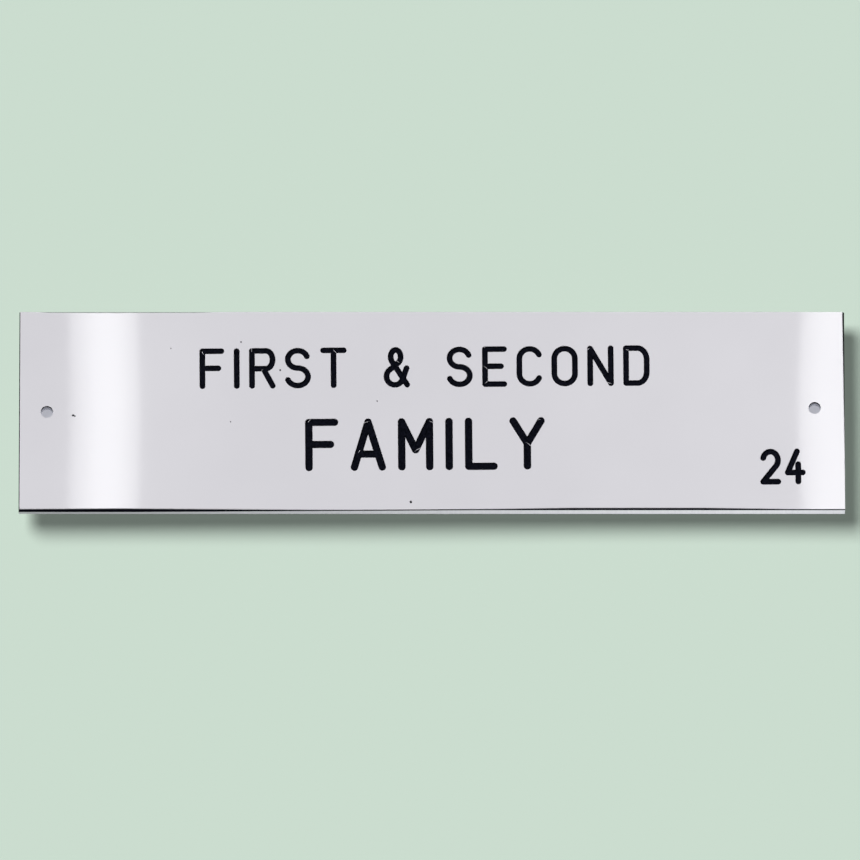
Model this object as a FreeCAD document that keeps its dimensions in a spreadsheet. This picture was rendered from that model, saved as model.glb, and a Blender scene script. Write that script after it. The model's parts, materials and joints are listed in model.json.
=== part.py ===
"""Door nameplate of three-ply engraving laminate, sawn and drilled by hand, its front edges filed.

Millimetres. X runs along the plate, Z is up and the face looks towards -Y. The origin is the middle of
the back face.
"""

import FreeCAD, Part
import os
import Sketcher

doc = FreeCAD.newDocument("nameplate")

# Each size that can be chosen by itself has one cell. The saw lean is how far the lower side stands out at the
# front of the left end, and the saw run is where it is square again. A bevel is the width that a file stroke
# takes off the face and off the side alike. A stroke keeps its bevel between its start and its end, and its run
# is where the file has lifted clear of the edge again, all measured from the end of the plate it starts at.
sizes = doc.addObject("Spreadsheet::Sheet", "sizes")
chosen_sizes = [
    ("plate_length", 160.0),
    ("plate_height", 40.0),
    ("back_thickness", 2.4),
    ("core_thickness", 0.7),
    ("face_thickness", 0.1),
    ("saw_lean", 0.5),
    ("saw_run", 90.0),
    ("hole_diameter", 2.4),
    ("left_hole_inset", 5.4),
    ("left_hole_drop", 0.3),
    ("right_hole_inset", 5.8),
    ("right_hole_rise", 0.5),
    ("file_clearance", 0.03),
    ("lower_left_bevel", 0.56),
    ("lower_left_end", 20.0),
    ("lower_left_run", 70.0),
    ("lower_right_bevel", 0.33),
    ("lower_right_start", 27.0),
    ("lower_right_end", 53.0),
    ("lower_right_run", 80.0),
    ("upper_left_bevel", 0.21),
    ("upper_left_start", 6.0),
    ("upper_left_end", 34.0),
    ("upper_left_run", 44.0),
    ("left_side_bevel", 0.27),
    ("right_upper_bevel", 0.43),
    ("right_upper_run", 42.0),
]
for row, (alias, value) in enumerate(chosen_sizes, start=1):
    sizes.set(f"A{row}", alias)
    sizes.set(f"B{row}", str(value))
    sizes.setAlias(f"B{row}", alias)
doc.recompute()

HALF_LENGTH = "sizes.plate_length / 2"
HALF_HEIGHT = "sizes.plate_height / 2"
TO_CORE = "sizes.back_thickness"
TO_FACE = "(sizes.back_thickness + sizes.core_thickness)"
THICKNESS = "(sizes.back_thickness + sizes.core_thickness + sizes.face_thickness)"
LEAN = "sizes.saw_lean"
CLEAR = "sizes.file_clearance"


def bind_base(piece, x, y, z):
    """Bind a piece's position to the sheet."""
    piece.setExpression("Placement.Base.x", x)
    piece.setExpression("Placement.Base.y", y)
    piece.setExpression("Placement.Base.z", z)


def ply_sheet(name, thickness, front):
    """One ply of the stock sheet, its front at the given distance from the door and room to saw below it."""
    sheet = doc.addObject("Part::Box", name)
    sheet.setExpression("Length", "sizes.plate_length")
    sheet.setExpression("Width", thickness)
    sheet.setExpression("Height", f"sizes.plate_height + {LEAN}")
    bind_base(sheet, f"-{HALF_LENGTH}", f"-{front}", f"-{HALF_HEIGHT} - {LEAN}")
    return sheet


def lean_wedge(name, base_depth, base_run):
    """A wedge below the plate, as deep as the lean at its base and thinned to nothing at its far edge."""
    wedge = doc.addObject("Part::Wedge", name)
    for least in ("Xmin", "X2min", "Ymin"):
        wedge.setExpression(least, "0 mm")
    for most in ("Xmax", "X2max"):
        wedge.setExpression(most, base_depth)
    wedge.setExpression("Ymax", base_run)
    wedge.setExpression("Zmin", f"-{LEAN}")
    for level in ("Zmax", "Z2min", "Z2max"):
        wedge.setExpression(level, "0 mm")
    return wedge


def screw_drill(name, x, z):
    """A drill that passes right through the plate, from well behind it to well before its face."""
    drill = doc.addObject("Part::Cylinder", name)
    drill.Placement.Rotation = FreeCAD.Rotation(FreeCAD.Vector(0, 0, 1), FreeCAD.Vector(0, -1, 0))
    drill.setExpression("Radius", "sizes.hole_diameter / 2")
    drill.setExpression("Height", f"3 * {THICKNESS}")
    bind_base(drill, x, THICKNESS, z)
    return drill


def file_stroke(name, corner, along, inward, path):
    """What one stroke of a flat file takes off a front edge of the plate.

    The path is drawn in the plane that holds the edge and halves the angle between the face and the side.
    It starts at the plate's corner and runs along the edge, each point giving a distance along and a bevel,
    or None where the file has left the plate. The file lies across that plane and is wider than any bevel.
    """
    stroke = doc.addObject("PartDesign::Body", name)
    across = along.cross(inward)
    stroke.Placement.Rotation = FreeCAD.Rotation(along, inward, across, "XYZ")
    bind_base(stroke, *corner)

    sketch = doc.addObject("Sketcher::SketchObject", f"{name}_path")
    stroke.addObject(sketch)
    plane = [p for p in stroke.Origin.OriginFeatures if p.Role == "XY_Plane"][0]
    sketch.AttachmentSupport = [(plane, "")]
    sketch.MapMode = "FlatFace"

    # The path is first laid out roughly in the right order, and the sheet then sets its points.
    count = len(path)
    rough = [FreeCAD.Vector(10.0 * i, 0.0 if path[i][1] is None else 1.0, 0) for i in range(count)]
    for i in range(count):
        sketch.addGeometry(Part.LineSegment(rough[i], rough[(i + 1) % count]), False)
    for i in range(count):
        sketch.addConstraint(Sketcher.Constraint("Coincident", i, 2, (i + 1) % count, 1))
    for i, (distance, bevel) in enumerate(path):
        if distance is None:
            sketch.addConstraint(Sketcher.Constraint("PointOnObject", i, 1, -2))
        else:
            place = sketch.addConstraint(Sketcher.Constraint("DistanceX", -1, 1, i, 1, rough[i].x))
            sketch.setExpression(f"Constraints[{place}]", distance)
        if bevel is None:
            sketch.addConstraint(Sketcher.Constraint("PointOnObject", i, 1, -1))
        else:
            depth = sketch.addConstraint(Sketcher.Constraint("DistanceY", -1, 1, i, 1, rough[i].y))
            sketch.setExpression(f"Constraints[{depth}]", f"({bevel} + 2 * {CLEAR}) * sin(45)")
    doc.recompute()

    pad = doc.addObject("PartDesign::Pad", f"{name}_file")
    stroke.addObject(pad)
    pad.Profile = sketch
    pad.SideType = "Symmetric"
    pad.setExpression("Length", f"2 * {THICKNESS}")
    sketch.Visibility = False
    doc.recompute()
    return stroke


# The laminate: three plies bonded face to face, the thick white one against the door.
back_sheet = ply_sheet("back_sheet", "sizes.back_thickness", TO_CORE)
core_sheet = ply_sheet("core_sheet", "sizes.core_thickness", TO_FACE)
face_sheet = ply_sheet("face_sheet", "sizes.face_thickness", THICKNESS)

# The outline as it was sawn. On the lower side the saw started with a lean: at the left end the front of the cut
# stands lower than the back, and the lean dies out along the run. The strip below the square outline is what
# two wedges share, one thinned from the face to the back and one thinned along the plate.
square_blank = doc.addObject("Part::Box", "square_blank")
square_blank.setExpression("Length", "sizes.plate_length")
square_blank.setExpression("Width", THICKNESS)
square_blank.setExpression("Height", "sizes.plate_height")
bind_base(square_blank, f"-{HALF_LENGTH}", f"-{THICKNESS}", f"-{HALF_HEIGHT}")
to_the_back = lean_wedge("to_the_back", "sizes.saw_run", THICKNESS)
bind_base(to_the_back, f"-{HALF_LENGTH}", f"-{THICKNESS}", f"-{HALF_HEIGHT}")
along_the_plate = lean_wedge("along_the_plate", THICKNESS, "sizes.saw_run")
along_the_plate.Placement.Rotation = FreeCAD.Rotation(FreeCAD.Vector(0, 0, 1), -90)
bind_base(along_the_plate, f"-{HALF_LENGTH}", "0 mm", f"-{HALF_HEIGHT}")
leaning_strip = doc.addObject("Part::MultiCommon", "leaning_strip")
leaning_strip.Shapes = [to_the_back, along_the_plate]
sawn_blank = doc.addObject("Part::MultiFuse", "sawn_blank")
sawn_blank.Shapes = [square_blank, leaning_strip]

# Two screw holes, drilled by hand: neither stands quite at mid-height, nor are both equally far from the ends.
left_hole_x = f"-{HALF_LENGTH} + sizes.left_hole_inset"
right_hole_x = f"{HALF_LENGTH} - sizes.right_hole_inset"
left_drill = screw_drill("left_drill", left_hole_x, "-sizes.left_hole_drop")
right_drill = screw_drill("right_drill", right_hole_x, "sizes.right_hole_rise")

# File strokes on the front edges. Each starts from a corner that stands clear of the plate on all three sides.
left_x = f"-{HALF_LENGTH} - {CLEAR}"
right_x = f"{HALF_LENGTH} + {CLEAR}"
front_y = f"-{THICKNESS} - {CLEAR}"
lower_z = f"-{HALF_HEIGHT} - {CLEAR}"
leaning_z = f"-{HALF_HEIGHT} - {LEAN} - {CLEAR}"
upper_z = f"{HALF_HEIGHT} + {CLEAR}"
rightward = FreeCAD.Vector(1, 0, 0)
upward = FreeCAD.Vector(0, 0, 1)
backward = FreeCAD.Vector(0, 1, 0)

# Lower edge: heaviest at the left corner, where the file goes deep into the black ply. The stroke follows the
# leaning edge, which rises by the lean over its run.
end_rise = f"{LEAN} * sizes.lower_left_end / sizes.saw_run"
run_rise = f"{LEAN} * sizes.lower_left_run / sizes.saw_run"
lower_left = file_stroke(
    "lower_left",
    (left_x, front_y, leaning_z),
    rightward,
    (backward + upward).normalize(),
    [
        (None, None),
        (None, "sizes.lower_left_bevel"),
        ("sizes.lower_left_end", f"sizes.lower_left_bevel + {end_rise}"),
        ("sizes.lower_left_run", f"{run_rise} - 2 * {CLEAR}"),
    ],
)

# Lower edge again: a second, lighter stroke on the right half.
lower_right = file_stroke(
    "lower_right",
    (right_x, front_y, lower_z),
    -rightward,
    (backward + upward).normalize(),
    [
        (None, None),
        ("sizes.lower_right_start", "sizes.lower_right_bevel"),
        ("sizes.lower_right_end", "sizes.lower_right_bevel"),
        ("sizes.lower_right_run", None),
    ],
)

# Upper edge: a short, light stroke near the left end.
upper_left = file_stroke(
    "upper_left",
    (left_x, front_y, upper_z),
    rightward,
    (backward - upward).normalize(),
    [
        (None, None),
        ("sizes.upper_left_start", "sizes.upper_left_bevel"),
        ("sizes.upper_left_end", "sizes.upper_left_bevel"),
        ("sizes.upper_left_run", None),
    ],
)

# Left side: one even stroke over the whole height.
left_side = file_stroke(
    "left_side",
    (left_x, front_y, leaning_z),
    upward,
    (rightward + backward).normalize(),
    [
        (None, None),
        (None, "sizes.left_side_bevel"),
        (f"sizes.plate_height + {LEAN} + 2 * {CLEAR}", "sizes.left_side_bevel"),
        (f"sizes.plate_height + {LEAN} + 2 * {CLEAR}", None),
    ],
)

# Right side: a stroke that is heaviest at the upper corner and lifts off below mid-height.
right_upper = file_stroke(
    "right_upper",
    (right_x, front_y, upper_z),
    -upward,
    (backward - rightward).normalize(),
    [(None, None), (None, "sizes.right_upper_bevel"), ("sizes.right_upper_run", None)],
)

# The bonded sheet is sawn, drilled and filed as one, so all three plies are cut by the same tools.
workmanship = doc.addObject("Part::MultiFuse", "workmanship")
workmanship.Shapes = [left_drill, right_drill, lower_left, lower_right, upper_left, left_side, right_upper]
plies = []
for label, sheet in (("back_ply", back_sheet), ("core_ply", core_sheet), ("face_ply", face_sheet)):
    sawn_ply = doc.addObject("Part::MultiCommon", f"sawn_{label}")
    sawn_ply.Shapes = [sheet, sawn_blank]
    ply = doc.addObject("Part::Cut", label)
    ply.Label = label
    ply.Base = sawn_ply
    ply.Tool = workmanship
    plies.append(ply)
doc.recompute()

for piece in doc.Objects:
    if "Invalid" in piece.State or "Error" in piece.State:
        raise RuntimeError(f"{piece.Label} did not build: {piece.State}")
for ply in plies:
    if ply.Shape.isNull() or not ply.Shape.isValid() or len(ply.Shape.Solids) != 1:
        raise RuntimeError(f"{ply.Label} is not one sound solid")

os.makedirs("parts", exist_ok=True)
for ply in plies:
    ply.Shape.exportStep(f"parts/{ply.Label}.step")
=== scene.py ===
import json
import math

import bpy
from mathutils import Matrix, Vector

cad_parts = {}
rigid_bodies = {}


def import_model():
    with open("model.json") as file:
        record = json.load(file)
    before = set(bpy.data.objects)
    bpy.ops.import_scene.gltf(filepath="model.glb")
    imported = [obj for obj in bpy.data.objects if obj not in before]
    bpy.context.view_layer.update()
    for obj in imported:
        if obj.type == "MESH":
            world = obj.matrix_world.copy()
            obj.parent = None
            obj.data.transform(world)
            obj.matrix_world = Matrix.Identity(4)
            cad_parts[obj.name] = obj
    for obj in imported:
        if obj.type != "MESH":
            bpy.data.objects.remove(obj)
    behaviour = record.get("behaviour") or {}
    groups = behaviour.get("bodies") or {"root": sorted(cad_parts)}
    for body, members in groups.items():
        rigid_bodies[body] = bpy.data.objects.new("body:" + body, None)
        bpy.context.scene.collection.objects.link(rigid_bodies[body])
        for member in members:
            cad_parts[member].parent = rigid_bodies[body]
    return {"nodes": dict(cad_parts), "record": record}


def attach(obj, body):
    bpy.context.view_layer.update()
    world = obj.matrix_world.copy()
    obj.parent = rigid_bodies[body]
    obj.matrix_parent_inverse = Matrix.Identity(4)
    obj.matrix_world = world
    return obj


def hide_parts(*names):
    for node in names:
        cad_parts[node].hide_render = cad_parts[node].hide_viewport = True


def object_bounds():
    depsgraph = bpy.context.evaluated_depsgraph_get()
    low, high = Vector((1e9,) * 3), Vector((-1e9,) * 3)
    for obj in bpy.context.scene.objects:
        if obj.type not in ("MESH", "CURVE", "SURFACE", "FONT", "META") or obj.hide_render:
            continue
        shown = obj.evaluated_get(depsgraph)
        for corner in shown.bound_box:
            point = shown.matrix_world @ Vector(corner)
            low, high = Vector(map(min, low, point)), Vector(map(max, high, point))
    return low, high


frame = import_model()
cad_low, cad_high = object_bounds()


# The back ply: the thick white sheet that lies against the door. It was sawn to length, so its sides are
# duller than the face and carry fine marks across the edge.
def linear(hex_colour):
    """The linear RGBA of a colour that is written as sRGB hex."""
    channels = [int(hex_colour[i : i + 2], 16) / 255 for i in (1, 3, 5)]
    return [c / 12.92 if c <= 0.04045 else ((c + 0.055) / 1.055) ** 2.4 for c in channels] + [1.0]


def add_node(tree, kind, inputs, **settings):
    """Add a node with its settings. An input takes either a plain value or the socket that feeds it."""
    node = tree.nodes.new(kind)
    for name, value in settings.items():
        setattr(node, name, value)
    for name, value in inputs.items():
        if isinstance(value, bpy.types.NodeSocket):
            tree.links.new(value, node.inputs[name])
        else:
            node.inputs[name].default_value = value
    return node


def per_metre(millimetres):
    """The texture scale at which one feature of a pattern is that many millimetres wide."""
    return 1000.0 / millimetres


# A Mix node's sockets for colours come after its sockets for numbers and vectors.
COLOUR_A, COLOUR_B, COLOUR_OUT = 6, 7, 2

# Filled white ABS. The rolled back is an even dull white, and the sides show the teeth of the saw across the
# edge, with a little grey dust left in them.
SAW_MARK_MM = 0.5
ROLLED_CLOUD_MM = 12.0
sawn_white = bpy.data.materials.new("sawn_white_abs")
sawn_white.use_nodes = True
tree = sawn_white.node_tree
shader = tree.nodes["Principled BSDF"]
place = add_node(tree, "ShaderNodeTexCoord", {})
across_edge = add_node(
    tree, "ShaderNodeMapping", {"Vector": place.outputs["Object"], "Scale": (1.0, 0.1, 1.0)}
)
saw_teeth = add_node(
    tree,
    "ShaderNodeTexNoise",
    {"Vector": across_edge.outputs["Vector"], "Scale": per_metre(SAW_MARK_MM), "Detail": 3.0},
)
rolled = add_node(
    tree,
    "ShaderNodeTexNoise",
    {"Vector": place.outputs["Object"], "Scale": per_metre(ROLLED_CLOUD_MM), "Detail": 4.0},
)
facing = add_node(tree, "ShaderNodeSeparateXYZ", {"Vector": place.outputs["Normal"]})
on_back = add_node(tree, "ShaderNodeMath", {0: facing.outputs["Y"], 1: 0.5}, operation="GREATER_THAN")
side_tone = add_node(
    tree,
    "ShaderNodeMix",
    {"Factor": saw_teeth.outputs["Fac"], COLOUR_A: linear("#cfd0d7"), COLOUR_B: linear("#e4e5ea")},
    data_type="RGBA",
)
back_tone = add_node(
    tree,
    "ShaderNodeMix",
    {"Factor": rolled.outputs["Fac"], COLOUR_A: linear("#d3d3d7"), COLOUR_B: linear("#dfdfe3")},
    data_type="RGBA",
)
tone = add_node(
    tree,
    "ShaderNodeMix",
    {
        "Factor": on_back.outputs[0],
        COLOUR_A: side_tone.outputs[COLOUR_OUT],
        COLOUR_B: back_tone.outputs[COLOUR_OUT],
    },
    data_type="RGBA",
)
relief = add_node(
    tree,
    "ShaderNodeMix",
    {"Factor": on_back.outputs[0], "A": saw_teeth.outputs["Fac"], "B": rolled.outputs["Fac"]},
    data_type="FLOAT",
)
teeth = add_node(
    tree, "ShaderNodeBump", {"Height": relief.outputs[0], "Strength": 0.3, "Distance": 0.00003}
)
tree.links.new(tone.outputs[COLOUR_OUT], shader.inputs["Base Color"])
tree.links.new(teeth.outputs["Normal"], shader.inputs["Normal"])
shader.inputs["Roughness"].default_value = 0.5
shader.inputs["IOR"].default_value = 1.52

back_ply = frame["nodes"]["back_ply"]
back_ply.data.materials.clear()
back_ply.data.materials.append(sawn_white)


# The engraving: placeholder words and a number, cut by a pantograph engraver with a tapered cutter. Each
# stroke of a letter is one pass, so it has round ends, and passes that meet differ a little in depth.
FACE_Y = cad_low.y
CUT_DEPTH = 0.00030
DEPTH_SPREAD = 0.00002
DEPTH_STEP = 2.4
CUTTER_LEAN = math.tan(math.radians(20))
CUTTER_ABOVE = 0.00030
CUTTER_SIDES = 32
ROW_TILT = math.radians(0.45)
MERGE_REACH = 1e-7


def bow(x, z, across, up, start, end):
    """Points on an arc of an ellipse, about nine degrees apart, from one angle to another in degrees."""
    steps = max(4, int(abs(end - start) / 9))
    turns = [math.radians(start + (end - start) * i / steps) for i in range(steps + 1)]
    return [(x + across * math.cos(t), z + up * math.sin(t)) for t in turns]


# Each letter is a list of strokes on a grid from -1 to 1 both ways.
STEM = [(-1, -1), (-1, 1)]
LOOP = bow(-0.1, 0.6, 0.48, 0.4, 220, -55)
STROKES = {
    "A": [[(-1, -1), (0, 1)], [(0, 1), (1, -1)], [(-0.71, -0.42), (0.71, -0.42)]],
    "C": [bow(0, 0.43, 1, 0.57, 25, 180) + bow(0, -0.43, 1, 0.57, 180, 335)],
    "D": [
        STEM,
        [(-1, 1)] + bow(0.1, 0.35, 0.9, 0.65, 90, 0) + bow(0.1, -0.35, 0.9, 0.65, 0, -90) + [(-1, -1)],
    ],
    "E": [STEM, [(-1, 1), (0.85, 1)], [(-1, 0.02), (0.55, 0.02)], [(-1, -1), (0.85, -1)]],
    "F": [STEM, [(-1, 1), (0.85, 1)], [(-1, 0.02), (0.55, 0.02)]],
    "I": [[(0, -1), (0, 1)]],
    "L": [STEM, [(-1, -1), (0.8, -1)]],
    "M": [STEM, [(-1, 1), (0, -0.25)], [(0, -0.25), (1, 1)], [(1, 1), (1, -1)]],
    "N": [STEM, [(-1, 1), (1, -1)], [(1, -1), (1, 1)]],
    "O": [bow(0, 0.43, 1, 0.57, 0, 180) + bow(0, -0.43, 1, 0.57, 180, 360) + [(1, 0.43)]],
    "R": [STEM, [(-1, 1)] + bow(0.35, 0.49, 0.65, 0.51, 90, -90) + [(-1, -0.02)], [(0.1, -0.02), (1, -1)]],
    "S": [bow(0, 0.5, 0.95, 0.5, 20, 270) + bow(0, -0.5, 1, 0.5, 90, -160)[1:]],
    "T": [[(-1, 1), (1, 1)], [(0, 1), (0, -1)]],
    "Y": [[(-1, 1), (0, 0)], [(1, 1), (0, 0)], [(0, 0), (0, -1)]],
    "&": [[(1, -1)] + LOOP, LOOP[-1:] + bow(-0.2, -0.52, 0.8, 0.48, 130, 335) + [(0.95, -0.05)]],
    "2": [bow(0, 0.43, 1, 0.57, 165, -38) + [(-1, -1)], [(-1, -1), (1, -1)]],
    "4": [[(0.25, 1), (-1, -0.4)], [(-1, -0.4), (1, -0.4)], [(0.4, 0.15), (0.4, -1)]],
}

engraving = bpy.data.collections.new("engraving")
bpy.context.scene.collection.children.link(engraving)
burrs = []


def select_only(piece):
    """Leave one piece selected and active."""
    bpy.ops.object.select_all(action="DESELECT")
    piece.select_set(True)
    bpy.context.view_layer.objects.active = piece


def close_mesh():
    """Merge the doubled points of the active piece and turn its faces outwards."""
    bpy.ops.object.mode_set(mode="EDIT")
    bpy.ops.mesh.select_all(action="SELECT")
    bpy.ops.mesh.remove_doubles(threshold=MERGE_REACH)
    bpy.ops.mesh.normals_make_consistent(inside=False)
    bpy.ops.object.mode_set(mode="OBJECT")


def keep_as_cutter(piece):
    """Put a cutter's shape in the engraving, with its place in its mesh."""
    for holder in list(piece.users_collection):
        holder.objects.unlink(piece)
    engraving.objects.link(piece)
    select_only(piece)
    bpy.ops.object.transform_apply(location=True, rotation=True, scale=True)


def plunge(x, z, width, depth):
    """The tapered cutter where it enters or leaves the sheet."""
    bpy.ops.mesh.primitive_cone_add(
        vertices=CUTTER_SIDES,
        radius1=width / 2 - depth * CUTTER_LEAN,
        radius2=width / 2 + CUTTER_ABOVE * CUTTER_LEAN,
        depth=depth + CUTTER_ABOVE,
        location=(x, FACE_Y + (depth - CUTTER_ABOVE) / 2, z),
        rotation=(math.radians(90), 0, 0),
    )
    keep_as_cutter(bpy.context.object)


def flat_line(name, points, closed):
    """A flat line of straight runs through a list of points, as an object of the scene."""
    curve = bpy.data.curves.new(name, "CURVE")
    curve.dimensions = "2D"
    line = curve.splines.new("POLY")
    line.points.add(len(points) - 1)
    for point, (x, y) in zip(line.points, points):
        point.co = (x, y, 0, 1)
    line.use_cyclic_u = closed
    piece = bpy.data.objects.new(name, curve)
    bpy.context.scene.collection.objects.link(piece)
    return piece


def cut_stroke(points, width, depth):
    """One pass of the cutter along a line of points on the face."""
    low = width / 2 - depth * CUTTER_LEAN
    high = width / 2 + CUTTER_ABOVE * CUTTER_LEAN
    corners = [(-low, -depth), (low, -depth), (high, CUTTER_ABOVE), (-high, CUTTER_ABOVE)]
    section = flat_line("cutter_section", corners, closed=True)

    closed = points[0] == points[-1]
    if closed:
        points = points[:-1]
    swept = flat_line("pass", points, closed)
    swept.data.bevel_mode = "OBJECT"
    swept.data.bevel_object = section
    swept.data.use_fill_caps = True
    swept.location = (0, FACE_Y, 0)
    swept.rotation_euler = (math.radians(90), 0, 0)
    select_only(swept)
    bpy.ops.object.convert(target="MESH")
    keep_as_cutter(swept)
    close_mesh()
    bpy.data.objects.remove(section)

    if not closed:
        for x, z in (points[0], points[-1]):
            plunge(x, z, width, depth)


def engrave(words, centre, letter_size, stroke_width, gap, space):
    """Cut one row of letters, centred on a point of the face and rising a little to the right."""
    centre_x, centre_z = centre
    letter_width, letter_height = letter_size
    pen = 0.0
    placed = []
    for letter in words:
        if letter == " ":
            pen += space - gap
            continue
        points = [p for stroke in STROKES[letter] for p in stroke]
        left = min(x for x, z in points) * letter_width / 2
        right = max(x for x, z in points) * letter_width / 2
        placed.append((letter, pen - left))
        pen += right - left + stroke_width + gap
    row_length = pen - stroke_width - gap

    passes = 0
    for letter, x_place in placed:
        for stroke in STROKES[letter]:
            path = []
            for x, z in stroke:
                along = x_place + x * letter_width / 2 - row_length / 2
                up = z * letter_height / 2
                path.append(
                    (
                        centre_x + along * math.cos(ROW_TILT) - up * math.sin(ROW_TILT),
                        centre_z + along * math.sin(ROW_TILT) + up * math.cos(ROW_TILT),
                    )
                )
            passes += 1
            depth = CUT_DEPTH + DEPTH_SPREAD * math.sin(passes * DEPTH_STEP)
            cut_stroke(path, stroke_width, depth)

            # A stroke that starts from an earlier one leaves a burr there, apart from one pass in five. The
            # number is clean.
            starts_from_another = stroke is not STROKES[letter][0]
            clean_pass = passes % 5 == 3
            if starts_from_another and not clean_pass and not letter.isdigit():
                heading = math.atan2(path[1][1] - path[0][1], path[1][0] - path[0][0])
                burrs.append((path[0], heading, stroke_width))


engrave(
    "FIRST & SECOND",
    centre=(-0.0014, 0.0088),
    letter_size=(0.0040, 0.0071),
    stroke_width=0.00116,
    gap=0.0018,
    space=0.0071,
)
engrave(
    "FAMILY",
    centre=(-0.0013, -0.00685),
    letter_size=(0.0054, 0.00916),
    stroke_width=0.00149,
    gap=0.0023,
    space=0.0090,
)
engrave(
    "24",
    centre=(0.0680, -0.0114),
    letter_size=(0.0029, 0.0061),
    stroke_width=0.00118,
    gap=0.0007,
    space=0.0040,
)

# Where the face has been knocked: each pit's place on the face, its width and its depth.
PITS = (
    (-0.06953, -0.00100, 0.00046, 0.00014),
    (-0.06918, -0.00114, 0.00034, 0.00012),
    (-0.00405, -0.01858, 0.00052, 0.00018),
    (-0.02940, 0.00820, 0.00038, 0.00016),
    (-0.03700, 0.01390, 0.00030, 0.00014),
    (-0.05060, 0.01260, 0.00026, 0.00013),
    (-0.03900, -0.00230, 0.00026, 0.00013),
    (-0.01060, 0.00190, 0.00028, 0.00013),
)
for x, z, width, depth in PITS:
    plunge(x, z, width, depth)


# The core ply: the thin black sheet under the face, seen in the engraving, at the filed edges and in the
# holes. It is bonded between the other two and cut by the same passes as the face.
SHARPEST_ROUND = math.radians(30)
FLAT_ENOUGH = math.radians(0.1)


def engraved_copy(node_name, piece_name):
    """A copy of a ply with the engraving cut out of it.

    Only edges that are sharper than the facets of a round stay sharp.
    """
    ply = frame["nodes"][node_name].copy()
    ply.data = ply.data.copy()
    ply.name = piece_name
    bpy.context.scene.collection.objects.link(ply)
    select_only(ply)
    bpy.ops.object.mode_set(mode="EDIT")
    bpy.ops.mesh.select_all(action="SELECT")
    bpy.ops.mesh.remove_doubles(threshold=MERGE_REACH)
    bpy.ops.mesh.dissolve_limited(angle_limit=FLAT_ENOUGH)
    bpy.ops.object.mode_set(mode="OBJECT")
    cut = ply.modifiers.new("engraving", "BOOLEAN")
    cut.operation = "DIFFERENCE"
    cut.operand_type = "COLLECTION"
    cut.collection = engraving
    cut.solver = "MANIFOLD"
    bpy.ops.object.modifier_apply(modifier=cut.name)
    bpy.ops.mesh.customdata_custom_splitnormals_clear()
    bpy.ops.object.shade_smooth_by_angle(angle=SHARPEST_ROUND)
    return ply


# Black ABS that a turning cutter left dull, with faint chatter: nearly black, with hardly any shine.
CHATTER_MM = 0.3
cut_black = bpy.data.materials.new("cut_black_abs")
cut_black.use_nodes = True
tree = cut_black.node_tree
shader = tree.nodes["Principled BSDF"]
place = add_node(tree, "ShaderNodeTexCoord", {})
chatter = add_node(
    tree,
    "ShaderNodeTexNoise",
    {"Vector": place.outputs["Object"], "Scale": per_metre(CHATTER_MM), "Detail": 4.0},
)
torn = add_node(
    tree, "ShaderNodeMapRange", {"Value": chatter.outputs["Fac"], "From Min": 0.35, "From Max": 0.65}
)
tone = add_node(
    tree,
    "ShaderNodeMix",
    {"Factor": torn.outputs[0], COLOUR_A: linear("#000104"), COLOUR_B: linear("#10111b")},
    data_type="RGBA",
)
ridges = add_node(
    tree, "ShaderNodeBump", {"Height": chatter.outputs["Fac"], "Strength": 0.5, "Distance": 0.00002}
)
tree.links.new(tone.outputs[COLOUR_OUT], shader.inputs["Base Color"])
tree.links.new(ridges.outputs["Normal"], shader.inputs["Normal"])
shader.inputs["Roughness"].default_value = 0.5
shader.inputs["Specular IOR Level"].default_value = 0.01

core_ply = engraved_copy("core_ply", "engraved_core")
core_ply.data.materials.clear()
core_ply.data.materials.append(cut_black)
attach(core_ply, "root")
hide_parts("core_ply")


# The face ply: a skin of glossy white laminate, bonded to the core and cut right through by the engraving.
# Where two passes meet, slivers of it were left in the groove.

# Glossy white laminate, pressed smooth: it mirrors the lamps as soft bands. The sheet is slightly domed and
# slowly wavy, which only its reflections show. The doming is how far it falls away from its middle for each
# square of the way, which comes to 0.13 mm at its ends.
DOMING = 0.020
CLOUD_MM = 18.0
SLOW_WAVE_MM = 35.0
ORANGE_PEEL_MM = 1.6
gloss_white = bpy.data.materials.new("glossy_white_laminate")
gloss_white.use_nodes = True
tree = gloss_white.node_tree
shader = tree.nodes["Principled BSDF"]
place = add_node(tree, "ShaderNodeTexCoord", {})
cloud = add_node(
    tree,
    "ShaderNodeTexNoise",
    {"Vector": place.outputs["Object"], "Scale": per_metre(CLOUD_MM), "Detail": 2.0},
)
tone = add_node(
    tree,
    "ShaderNodeMix",
    {"Factor": cloud.outputs["Fac"], COLOUR_A: linear("#d0ced4"), COLOUR_B: linear("#d6d4da")},
    data_type="RGBA",
)
slow_wave = add_node(
    tree,
    "ShaderNodeTexNoise",
    {"Vector": place.outputs["Object"], "Scale": per_metre(SLOW_WAVE_MM), "Detail": 1.0},
)
orange_peel = add_node(
    tree,
    "ShaderNodeTexNoise",
    {"Vector": place.outputs["Object"], "Scale": per_metre(ORANGE_PEEL_MM), "Detail": 2.0},
)
across = add_node(tree, "ShaderNodeSeparateXYZ", {"Vector": place.outputs["Object"]})
off_middle = add_node(
    tree, "ShaderNodeMath", {0: across.outputs["X"], 1: across.outputs["X"]}, operation="MULTIPLY"
)
up_sheet = add_node(
    tree,
    "ShaderNodeMath",
    {0: across.outputs["Z"], 1: math.pi / (cad_high.z - cad_low.z)},
    operation="MULTIPLY",
)
mid_height = add_node(tree, "ShaderNodeMath", {0: up_sheet.outputs[0]}, operation="COSINE")
fall = add_node(
    tree, "ShaderNodeMath", {0: off_middle.outputs[0], 1: mid_height.outputs[0]}, operation="MULTIPLY"
)
dome = add_node(
    tree, "ShaderNodeBump", {"Height": fall.outputs[0], "Strength": 1.0, "Distance": DOMING}, invert=True
)
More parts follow.
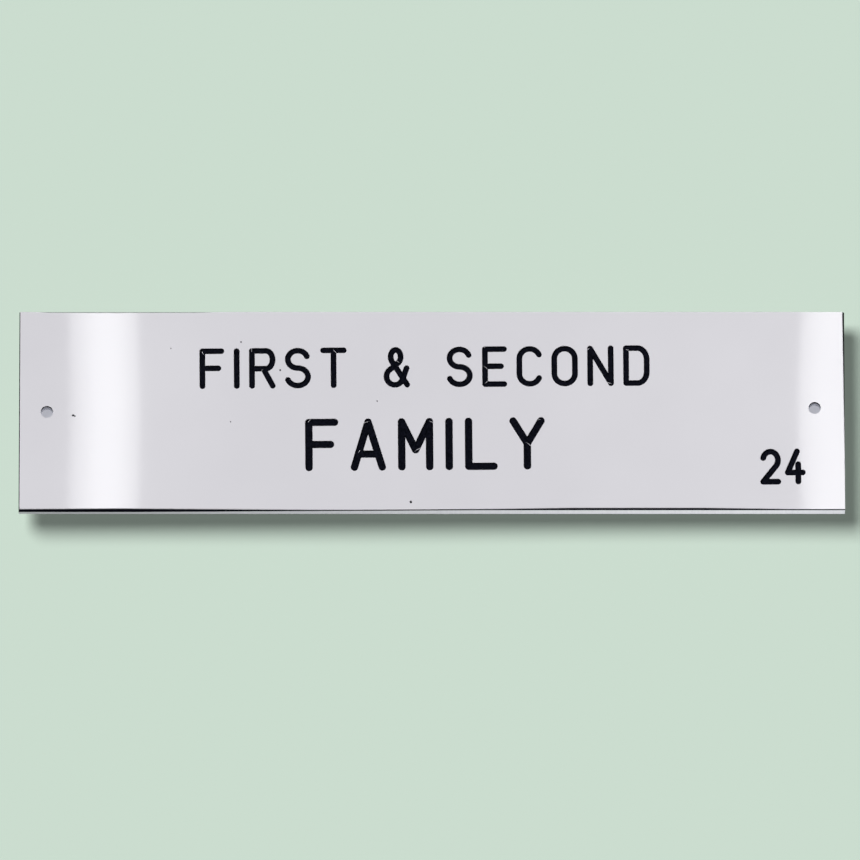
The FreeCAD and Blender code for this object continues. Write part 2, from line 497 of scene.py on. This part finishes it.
wave = add_node(
    tree,
    "ShaderNodeBump",
    {
        "Height": slow_wave.outputs["Fac"],
        "Strength": 1.0,
        "Distance": 0.00006,
        "Normal": dome.outputs["Normal"],
    },
)
peel = add_node(
    tree,
    "ShaderNodeBump",
    {
        "Height": orange_peel.outputs["Fac"],
        "Strength": 1.0,
        "Distance": 0.000003,
        "Normal": wave.outputs["Normal"],
    },
)
handled = add_node(
    tree,
    "ShaderNodeMapRange",
    {"Value": cloud.outputs["Fac"], "From Min": 0.3, "From Max": 0.7, "To Min": 0.062, "To Max": 0.074},
)
tree.links.new(tone.outputs[COLOUR_OUT], shader.inputs["Base Color"])
tree.links.new(handled.outputs[0], shader.inputs["Roughness"])
tree.links.new(peel.outputs["Normal"], shader.inputs["Normal"])
shader.inputs["IOR"].default_value = 1.5

face_ply = engraved_copy("face_ply", "engraved_face")
face_ply.data.materials.clear()
face_ply.data.materials.append(gloss_white)

# The slivers: each is rooted in the rim of a groove and curls a little way across it, thinning to its tip.
# They lean and reach unevenly. The reach and the curl are shares of the groove's width.
SLIVER_THICK = 0.00011
SLIVER_ROOT = 0.0001
SLIVER_DROP = 0.00004
SLIVER_LEAN, LEAN_SPREAD = 70, 25
SLIVER_REACH, REACH_SPREAD = 0.55, 0.2
SLIVER_CURL = 0.12
SLIVER_TAPER = 0.8
SLIVER_RUNS = 4
slivers = []
for count, ((x, z), heading, groove) in enumerate(burrs):
    side = 1 if count % 2 else -1
    lean = heading + side * math.radians(SLIVER_LEAN + LEAN_SPREAD * math.sin(count * 1.7))
    reach = groove * (SLIVER_REACH + REACH_SPREAD * math.sin(count * 2.3))
    sliver = bpy.data.curves.new("sliver", "CURVE")
    sliver.dimensions = "3D"
    sliver.bevel_depth = SLIVER_THICK / 2
    sliver.bevel_resolution = 1
    sliver.use_fill_caps = True
    line = sliver.splines.new("POLY")
    line.points.add(SLIVER_RUNS)
    for step, point in enumerate(line.points):
        share = step / SLIVER_RUNS
        inward = groove / 2 + SLIVER_ROOT - share * (reach + SLIVER_ROOT)
        curl = SLIVER_CURL * groove * share * share * side
        point.co = (
            x + inward * math.cos(lean) - curl * math.sin(lean),
            FACE_Y + SLIVER_THICK / 2 + SLIVER_DROP * share,
            z + inward * math.sin(lean) + curl * math.cos(lean),
            1,
        )
        point.radius = 1 - SLIVER_TAPER * share
    piece = bpy.data.objects.new("sliver", sliver)
    bpy.context.scene.collection.objects.link(piece)
    slivers.append(piece)
select_only(slivers[0])
for piece in slivers:
    piece.select_set(True)
bpy.ops.object.convert(target="MESH")
bpy.ops.object.join()
slivers[0].data.materials.clear()
slivers[0].data.materials.append(gloss_white)
close_mesh()
face_ply.select_set(True)
bpy.context.view_layer.objects.active = face_ply
bpy.ops.object.join()
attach(face_ply, "root")
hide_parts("face_ply")

bpy.ops.object.select_all(action="DESELECT")
for cutter in list(engraving.objects):
    bpy.data.objects.remove(cutter)
bpy.data.collections.remove(engraving)


# The ground behind the plate: a plain pale green wall that takes the plate's soft shadow, and a round of
# card in the back of each screw hole, which glows pale as painted light. Both are clear from behind, so the
# plate's back can be seen.
WALL_COLOUR = "#cbddd0"


def ground_paint(name, colour, own_light, light_colour):
    """Flat paint with some light of its own, which keeps a shadow on it from going too dark."""
    paint = bpy.data.materials.new(name)
    paint.use_nodes = True
    tree = paint.node_tree
    shader = tree.nodes["Principled BSDF"]
    shader.inputs["Base Color"].default_value = linear(colour)
    shader.inputs["Roughness"].default_value = 1.0
    shader.inputs["Specular IOR Level"].default_value = 0.0
    shader.inputs["Emission Color"].default_value = linear(light_colour)
    shader.inputs["Emission Strength"].default_value = own_light
    side = add_node(tree, "ShaderNodeNewGeometry", {})
    ray = add_node(tree, "ShaderNodeLightPath", {})
    seen_from_behind = add_node(
        tree,
        "ShaderNodeMath",
        {0: side.outputs["Backfacing"], 1: ray.outputs["Is Shadow Ray"]},
        operation="SUBTRACT",
        use_clamp=True,
    )
    clear = add_node(tree, "ShaderNodeBsdfTransparent", {})
    one_sided = add_node(
        tree,
        "ShaderNodeMixShader",
        {0: seen_from_behind.outputs[0], 1: shader.outputs["BSDF"], 2: clear.outputs["BSDF"]},
    )
    tree.links.new(one_sided.outputs[0], tree.nodes["Material Output"].inputs["Surface"])
    return paint


# The wall turns a little to the left, so that it isn't seen edge-on from the plate's right end.
WALL_SIZE = 1.2
WALL_GAP = 0.0045
WALL_TURN = math.radians(-0.15)
bpy.ops.mesh.primitive_plane_add(
    size=WALL_SIZE, location=(0, WALL_GAP, 0), rotation=(math.radians(90), 0, WALL_TURN)
)
wall = bpy.context.object
wall.name = "wall"
bpy.ops.object.transform_apply(location=True, rotation=True, scale=True)
wall.data.materials.append(
    ground_paint("pale_green_paint", colour="#303531", own_light=0.218, light_colour=WALL_COLOUR)
)
wall.visible_diffuse = False
wall.visible_shadow = False

# The left hole was drilled below the pattern's line and the right one as far above it. A card's rim is
# tucked into the hole's side.
HOLE_STRAY = 0.0004
CARD_DEPTH = 0.0008
CARD_TUCK = 0.00005
# The card is grey and glows with light of its own. This painted light makes the far end of each hole pale and
# lights its bore.
glowing_card_paint = ground_paint("glowing_card", colour="#6f7076", own_light=0.98, light_colour="#aaabb2")
hole_pattern = [m for m in frame["record"]["mounts"] if m["name"] == "screw_holes"][0]
middle = Vector(hole_pattern["pos_m"])
half_spacing = hole_pattern["dims"]["spacing_x_mm"] / 2000
hole_radius = hole_pattern["dims"]["hole_r_mm"] / 1000
cards = []
for name, side in (("left_card", -1), ("right_card", 1)):
    bpy.ops.mesh.primitive_circle_add(
        vertices=64,
        radius=hole_radius + CARD_TUCK,
        fill_type="NGON",
        location=middle + Vector((side * half_spacing, -CARD_DEPTH, side * HOLE_STRAY)),
        rotation=(math.radians(90), 0, 0),
    )
    card = bpy.context.object
    card.name = name
    bpy.ops.object.transform_apply(location=True, rotation=True, scale=True)
    card.data.materials.append(glowing_card_paint)
    cards.append(card)

# The room beyond the wall has the wall's colour to the eye and in reflections, and lights the plate faintly.
world = bpy.data.worlds.new("room")
bpy.context.scene.world = world
world.use_nodes = True
tree = world.node_tree
ray = add_node(tree, "ShaderNodeLightPath", {})
seen = add_node(
    tree,
    "ShaderNodeMath",
    {0: ray.outputs["Is Camera Ray"], 1: ray.outputs["Is Glossy Ray"]},
    operation="MAXIMUM",
)
seen_too = add_node(
    tree, "ShaderNodeMath", {0: seen.outputs[0], 1: ray.outputs["Is Transmission Ray"]}, operation="MAXIMUM"
)
around = add_node(tree, "ShaderNodeBackground", {"Color": linear("#ffffff"), "Strength": 0.2})
behind = add_node(tree, "ShaderNodeBackground", {"Color": linear(WALL_COLOUR), "Strength": 1.0})
room = add_node(
    tree,
    "ShaderNodeMixShader",
    {0: seen_too.outputs[0], 1: around.outputs["Background"], 2: behind.outputs["Background"]},
)
tree.links.new(room.outputs[0], tree.nodes["World Output"].inputs["Surface"])


# The light: a broad key from the upper left, lamps behind the back and beside the right end, and a fill for
# the lower side. A lamp for the wall alone throws the shadow, and upright strips before the face are mirrored
# in it as soft bands.
def aim(thing, direction):
    """Turn a lamp or the camera to look along a direction."""
    thing.rotation_euler = Vector(direction).to_track_quat("-Z", "Y").to_euler()


def light_set(name, pieces, state):
    """The pieces that a lamp lights, or that stop its light: these alone, or all but these."""
    group = bpy.data.collections.new(name)
    for piece in pieces:
        group.objects.link(piece)
    for member in group.collection_objects:
        member.light_linking.link_state = state
    return group


wall_alone = light_set("wall_alone", [wall], "INCLUDE")
all_but_wall = light_set("all_but_wall", [wall], "EXCLUDE")
all_but_cards = light_set("all_but_cards", cards, "EXCLUDE")


def sun(name, direction, strength, width):
    """A distant lamp of a given width in degrees."""
    bpy.ops.object.light_add(type="SUN", location=-Vector(direction))
    lamp = bpy.context.object
    lamp.name = name
    lamp.data.energy = strength
    lamp.data.angle = math.radians(width)
    aim(lamp, direction)
    return lamp


key_lamp = sun("key", (0.5, 1.0, -0.6), strength=3.27, width=20)
rear_lamp = sun("rear", (0.0, -1.0, -0.7), strength=2.6, width=20)
side_lamp = sun("side", (-1.0, -0.15, -0.08), strength=1.2, width=20)
side_lamp.visible_glossy = False
shadow_lamp = sun("shadow_lamp", (0.51, 1.0, -0.31), strength=57.1, width=32)
shadow_lamp.light_linking.receiver_collection = wall_alone

bpy.ops.object.light_add(type="AREA", location=(0.07, 0.035, -0.15))
fill_lamp = bpy.context.object
fill_lamp.name = "fill"
fill_lamp.data.size = 0.08
fill_lamp.data.energy = 0.169
aim(fill_lamp, (-0.05, 0.0, 0.15))
fill_lamp.visible_camera = False

for lamp in (key_lamp, rear_lamp, side_lamp, fill_lamp):
    lamp.light_linking.receiver_collection = all_but_wall
for lamp in (key_lamp, side_lamp, fill_lamp):
    lamp.light_linking.blocker_collection = all_but_cards

VIEW_BELOW = math.radians(17.4)
STRIP_REACH = 0.10
STRIP_HEIGHT = 0.12


def strip(name, way_out, glow):
    """An upright strip lamp that the face mirrors towards a viewer on the other side of its normal.

    Its diffuser fades to its edges: glow pairs each place across it with the light that it sends out there.
    """
    left_edge, right_edge = glow[0][0], glow[-1][0]
    width = right_edge - left_edge
    brightest = max(light for x, light in glow)
    foot = Vector(((left_edge + right_edge) / 2, FACE_Y, 0))
    bpy.ops.object.light_add(type="AREA", location=foot + STRIP_REACH * way_out)
    lamp = bpy.context.object
    lamp.name = name
    lamp.data.shape = "RECTANGLE"
    lamp.data.size = width
    lamp.data.size_y = STRIP_HEIGHT
    lamp.data.energy = brightest * math.pi * width * STRIP_HEIGHT
    aim(lamp, -way_out)
    lamp.visible_diffuse = False
    lamp.visible_camera = False
    lamp.data.use_nodes = True
    tree = lamp.data.node_tree
    lamp_face = add_node(tree, "ShaderNodeNewGeometry", {})
    across = add_node(tree, "ShaderNodeSeparateXYZ", {"Vector": lamp_face.outputs["Parametric"]})
    diffuser = add_node(tree, "ShaderNodeValToRGB", {"Fac": across.outputs["X"]})
    stops = diffuser.color_ramp.elements
    for x, light in glow[1:-1]:
        stops.new((x - left_edge) / width)
    for stop, (x, light) in zip(stops, glow):
        stop.color = [light / brightest] * 3 + [1.0]
    tree.links.new(diffuser.outputs["Color"], tree.nodes["Emission"].inputs["Strength"])


# Two strips stand above the face, for a viewer below it, and one stands low at each side, for a viewer above
# the other side.
above = Vector((0, -math.cos(VIEW_BELOW), math.sin(VIEW_BELOW)))
low_left = Vector((-1.0, -1.0, -0.66)).normalized()
low_right = Vector((1.0, -1.0, -0.66)).normalized()
strip(
    "left_strip",
    above,
    ((-0.0719, 2.7), (-0.0662, 6.9), (-0.0623, 6.9), (-0.0581, 3.6), (-0.0580, 0.6), (-0.0376, 0.0)),
)
strip(
    "right_strip",
    above,
    ((0.0174, 0.0), (0.0333, 0.4), (0.0731, 0.7), (0.0733, 4.3), (0.0772, 6.6), (0.0928, 6.6)),
)
strip("low_left_strip", low_left, ((-0.0600, 0.0), (-0.0555, 4.0), (-0.0520, 4.0), (-0.0420, 0.0)))
strip("low_right_strip", low_right, ((0.0420, 0.0), (0.0520, 4.0), (0.0555, 4.0), (0.0600, 0.0)))


# The camera: square on from the left and right, from a little below, and so far away that the plate's ends
# stay upright. The plate stands a little above and to the right of the frame's middle.
FRAME_WIDTH = 0.16668
FRAME_LEFT = 0.00035
FRAME_DROP = 0.0038
CAMERA_REACH = 5.0
SENSOR_WIDTH = 36.0
bpy.ops.object.camera_add()
camera = bpy.context.object
camera.data.sensor_width = SENSOR_WIDTH
camera.data.lens = SENSOR_WIDTH * CAMERA_REACH / FRAME_WIDTH
sight = Vector((0, math.cos(VIEW_BELOW), math.sin(VIEW_BELOW)))
image_up = Vector((0, -math.sin(VIEW_BELOW), math.cos(VIEW_BELOW)))
aim_point = Vector((-FRAME_LEFT, FACE_Y, 0)) - image_up * FRAME_DROP
camera.location = aim_point - sight * CAMERA_REACH
aim(camera, sight)
bpy.context.scene.camera = camera
bpy.context.scene.view_settings.view_transform = "Standard"
